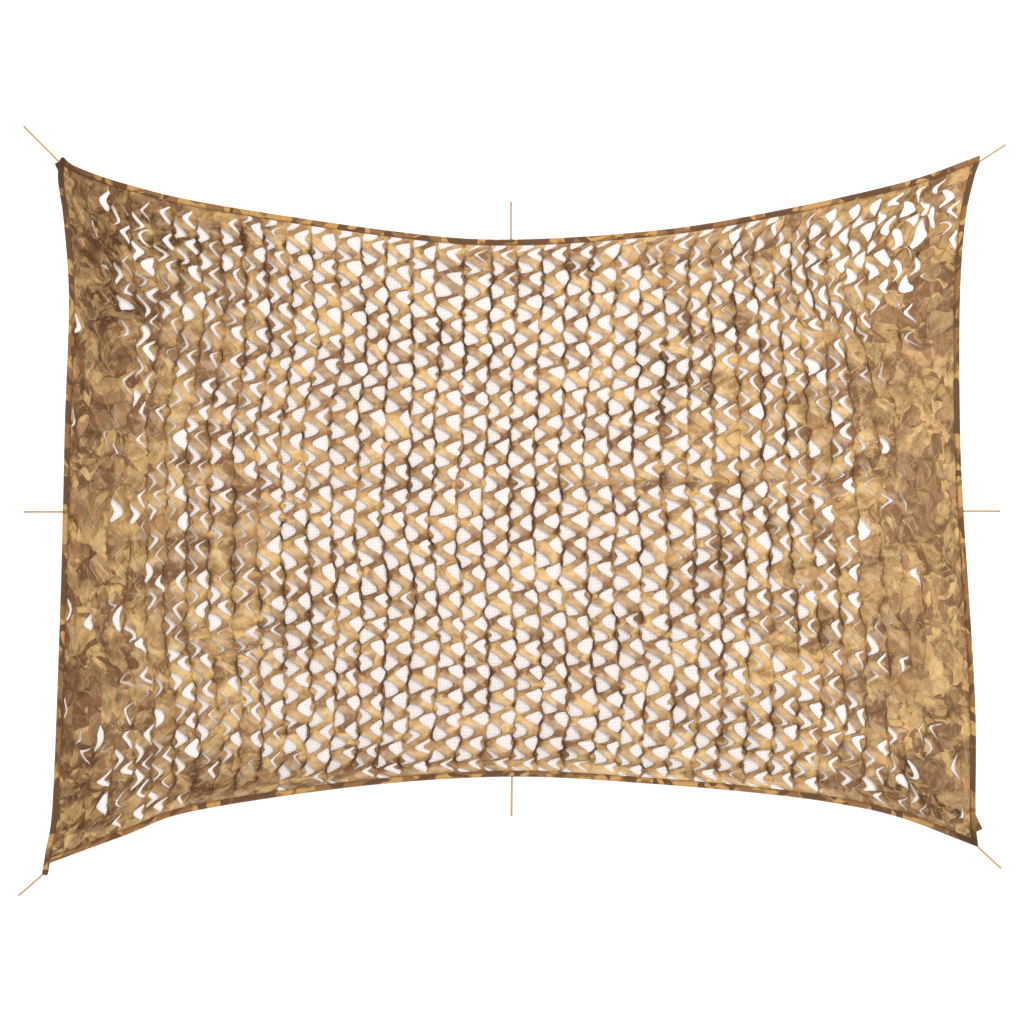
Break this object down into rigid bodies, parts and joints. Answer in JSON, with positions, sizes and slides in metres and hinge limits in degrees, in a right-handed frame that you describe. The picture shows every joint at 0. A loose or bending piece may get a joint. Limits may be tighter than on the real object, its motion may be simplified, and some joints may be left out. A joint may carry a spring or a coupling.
{
  "type": "camouflage netting",
  "caption": "Desert camouflage netting: incised cloth opened into staggered gaps, bound with folded webbing, with tie cords at its corners and the middle of each side.",
  "frame": {"origin": "middle of the net's bounding box, on the surface it lies on", "axes": "+X along the net's length to the right of its face, +Y up the face as it is hung, +Z out of the face"},
  "size_m": [4.2278, 3.2978, 0.028],
  "materials": {
    "garnish": "matt desert camouflage print, three colours",
    "webbing": "matt printed webbing, folded and stitched",
    "cord": "laid tan cord"
  },
  "bodies": {
    "root": {"garnish": "garnish", "binding_top": "webbing", "binding_bottom": "webbing", "binding_left": "webbing", "binding_right": "webbing", "tie_top_left": "cord", "tie_top": "cord", "tie_top_right": "cord", "tie_left": "cord", "tie_right": "cord", "tie_bottom_left": "cord", "tie_bottom": "cord", "tie_bottom_right": "cord"}
  },
  "joints": []
}
